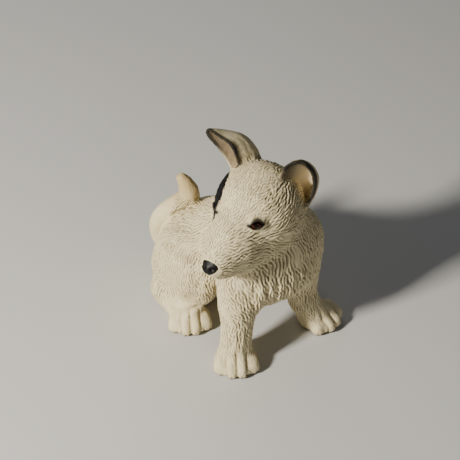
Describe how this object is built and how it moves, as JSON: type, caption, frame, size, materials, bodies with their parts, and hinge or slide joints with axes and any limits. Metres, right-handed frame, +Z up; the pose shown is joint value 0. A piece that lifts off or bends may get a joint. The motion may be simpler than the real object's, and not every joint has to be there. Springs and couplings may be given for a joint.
{
  "type": "dog figurine",
  "caption": "Seated puppy figurine of cast resin, head turned over its right shoulder, right ear erect and left ear folded back, tail curled over the rump.",
  "frame": {"origin": "on the surface that the figurine stands on, under the middle of its outline box", "axes": "+Z up, the puppy's chest and front paws face -Y, its left side is +X, and its head is turned to -X"},
  "size_m": [0.1053, 0.1214, 0.1358],
  "materials": {
    "painted_resin": "cast polyresin, painted ivory with a brown wash in the carved coat, black eye patch, ear rims and nose",
    "eye_glass": "domed glass eye, amber brown with a black pupil, polished"
  },
  "bodies": {
    "root": {"dog_casting": "painted_resin", "left_eye": "eye_glass", "right_eye": "eye_glass"}
  },
  "joints": []
}
